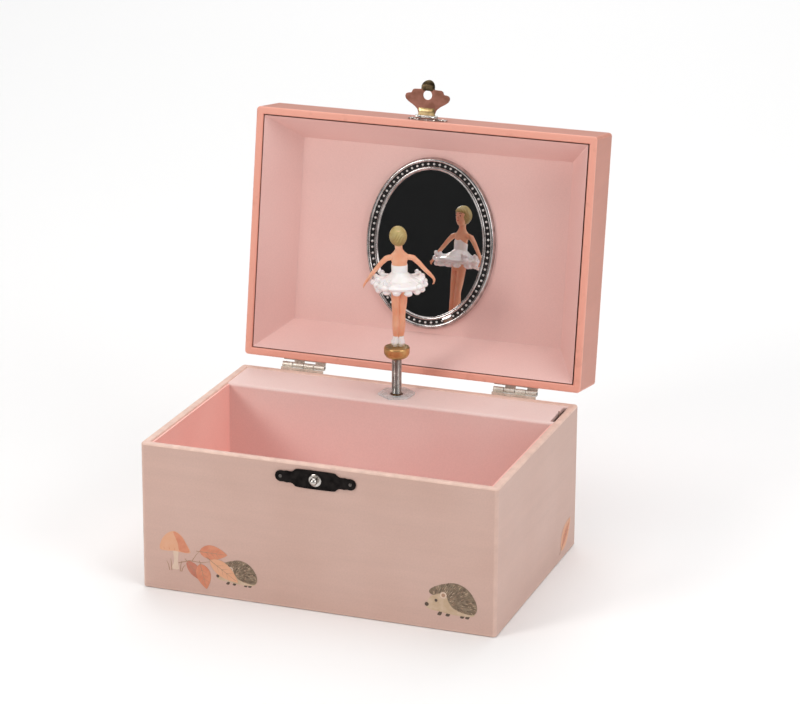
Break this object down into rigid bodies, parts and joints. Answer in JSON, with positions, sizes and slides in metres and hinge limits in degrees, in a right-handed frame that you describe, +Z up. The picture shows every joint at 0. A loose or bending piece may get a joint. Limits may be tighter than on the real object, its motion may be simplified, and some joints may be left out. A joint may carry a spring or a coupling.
{
  "type": "musical jewellery box",
  "caption": "Paper-covered jewellery box with a hinged mirrored lid, a front catch, and a ballerina that turns on a spring post over a wind-up movement.",
  "frame": {"origin": "centre of the lower box's underside", "axes": "+Z up, +Y towards the hinges at the back, +X to the right seen from the front; the lid stands open at rest"},
  "size_m": [0.19, 0.1918, 0.2385],
  "materials": {
    "case_paper": "printed paper over board, satin",
    "lid_paper": "plain coral paper over board, satin",
    "lining_card": "smooth pink card",
    "nickel_plate": "bright nickel plate on stamped steel",
    "steel_wire": "drawn steel",
    "movement_zinc": "die-cast zinc",
    "movement_brass": "turned brass",
    "black_plastic": "moulded, matte",
    "silver_plastic": "vacuum-plated moulding",
    "mirror_silvering": "silvered glass",
    "gold_plastic": "gold-plated moulding",
    "white_plastic": "painted white, glossy",
    "skin_plastic": "moulded, satin",
    "hair_plastic": "painted blonde"
  },
  "bodies": {
    "case": {"base_front": "case_paper", "base_back": "case_paper", "base_left": "case_paper", "base_right": "case_paper", "base_bottom": "case_paper", "lining_floor": "lining_card", "lining_front": "lining_card", "lining_sides": "lining_card", "platform_top": "lining_card", "platform_front": "lining_card", "post_escutcheon": "nickel_plate", "keeper_plate": "nickel_plate", "keeper_stud": "nickel_plate", "keeper_nails": "nickel_plate", "base_hinge_leaves": "nickel_plate", "hinge_pins": "steel_wire", "base_hinge_screws": "nickel_plate", "movement_plate": "movement_zinc", "movement_screws": "steel_wire", "comb": "steel_wire", "comb_screws": "steel_wire", "cylinder_bearings": "movement_zinc", "spindle_bearing": "movement_zinc", "governor_housing": "movement_zinc"},
    "lid": {"lid_top": "lid_paper", "lid_front": "lid_paper", "lid_back": "lid_paper", "lid_sides": "lid_paper", "lid_ceiling": "lining_card", "lid_bevel_panels": "lining_card", "mirror_backing": "black_plastic", "mirror_glass": "mirror_silvering", "mirror_frame": "silver_plastic", "lid_hinge_leaves": "nickel_plate", "lid_hinge_screws": "nickel_plate", "hasp_mount": "nickel_plate", "hasp_nails": "nickel_plate", "hasp_pin": "steel_wire"},
    "hasp": {"hasp_tongue": "nickel_plate"},
    "post": {"post_spring": "steel_wire"},
    "figure": {"figure_cup": "gold_plastic", "figure_shoes": "white_plastic", "figure_legs": "skin_plastic", "figure_body": "skin_plastic", "figure_arms": "skin_plastic", "figure_tutu": "white_plastic", "figure_bodice": "white_plastic", "figure_hair": "hair_plastic"},
    "barrel": {"spring_barrel": "movement_brass", "mainspring": "steel_wire"},
    "key": {"winding_arbor": "steel_wire", "winding_key": "nickel_plate"},
    "cylinder": {"pin_cylinder": "movement_brass"},
    "spindle": {"drive_spindle": "movement_brass"},
    "governor": {"governor_wheel": "movement_brass"},
    "fly": {"governor_fly": "black_plastic"},
    "stop": {"stop_wire": "steel_wire"}
  },
  "joints": [
    {"name": "lid_hinge", "type": "hinge", "parent": "case", "child": "lid", "pos_m": [0, 0.0707, 0.0799], "axis": [1, 0, 0], "range_deg": [0, 98.75]},
    {"name": "hasp_hinge", "type": "hinge", "parent": "lid", "child": "hasp", "pos_m": [0, 0.09421, 0.21803], "axis": [1, 0, 0], "range_deg": [-80, 90]},
    {"name": "figure_fold", "type": "hinge", "parent": "case", "child": "post", "pos_m": [0, 0.05, 0.0895], "axis": [1, 0, 0], "range_deg": [0, 108.5], "deforming": ["post_spring"]},
    {"name": "figure_spin", "type": "hinge", "parent": "post", "child": "figure", "pos_m": [0, 0.05, 0.0965], "axis": [0, 0, 1], "continuous": true},
    {"name": "barrel_spin", "type": "hinge", "parent": "case", "child": "barrel", "pos_m": [0, 0.058, 0.036], "axis": [0, 1, 0], "continuous": true},
    {"name": "key_turn", "type": "hinge", "parent": "case", "child": "key", "pos_m": [0, 0.0665, 0.036], "axis": [0, 1, 0], "continuous": true},
    {"name": "cylinder_spin", "type": "hinge", "parent": "case", "child": "cylinder", "pos_m": [0.029, 0.05, 0.036], "axis": [1, 0, 0], "continuous": true},
    {"name": "spindle_spin", "type": "hinge", "parent": "case", "child": "spindle", "pos_m": [0, 0.05, 0.06], "axis": [0, 0, 1], "continuous": true},
    {"name": "governor_spin", "type": "hinge", "parent": "case", "child": "governor", "pos_m": [0.046, 0.05, 0.0464], "axis": [1, 0, 0], "continuous": true},
    {"name": "fly_spin", "type": "hinge", "parent": "case", "child": "fly", "pos_m": [0.0496, 0.0406, 0.0464], "axis": [0, 0, 1], "continuous": true},
    {"name": "stop_wire_slide", "type": "slide", "parent": "case", "child": "stop", "axis": [0, 0, -1], "range_m": [0, 0.0016]}
  ],
  "couplings": [
    {"joint": "figure_fold", "follows": "lid_hinge", "ratio": 1.09},
    {"joint": "stop_wire_slide", "follows": "lid_hinge", "m_per_rad": 0.0009167},
    {"joint": "spindle_spin", "follows": "barrel_spin", "ratio": -3},
    {"joint": "figure_spin", "follows": "barrel_spin", "ratio": -3},
    {"joint": "cylinder_spin", "follows": "barrel_spin", "ratio": -3},
    {"joint": "governor_spin", "follows": "barrel_spin", "ratio": 6.75},
    {"joint": "fly_spin", "follows": "barrel_spin", "ratio": 162}
  ]
}
